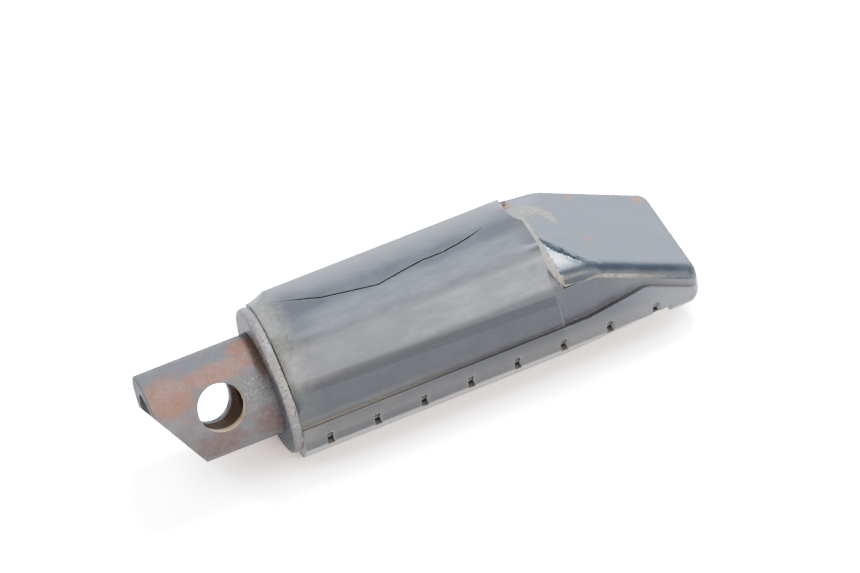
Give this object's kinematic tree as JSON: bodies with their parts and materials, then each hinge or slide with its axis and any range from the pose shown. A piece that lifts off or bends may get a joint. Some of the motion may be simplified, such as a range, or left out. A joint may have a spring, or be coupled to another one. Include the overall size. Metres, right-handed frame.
{
  "type": "motorcycle passenger footpeg",
  "caption": "Passenger footpeg: cross-drilled steel tube with stop washer and sloped end plate, inside a faceted rubber grip with a grooved tread. Carries a rider's foot.",
  "frame": {"origin": "where the axis of the hinge pin's bore crosses the axis of the tube", "axes": "+X along the tube from the hinge end to the tip, +Z away from the tread, square to it; the peg lies on its tread with its underside up"},
  "size_m": [0.1168, 0.0318, 0.032],
  "materials": {
    "rusted_tube_steel": "matte, worn grey primer with brown rust",
    "worn_washer_steel": "satin, worn bare with speckled rust",
    "weld_steel": "rough weld metal",
    "gloss_black_plate": "gloss black paint, chipped at the edges",
    "aged_black_rubber": "satin, aged and dusty"
  },
  "bodies": {
    "root": {"peg_tube": "rusted_tube_steel", "stop_washer": "worn_washer_steel", "washer_weld": "weld_steel", "end_plate": "gloss_black_plate", "plate_weld": "weld_steel", "grip_rubber": "aged_black_rubber"}
  },
  "joints": []
}
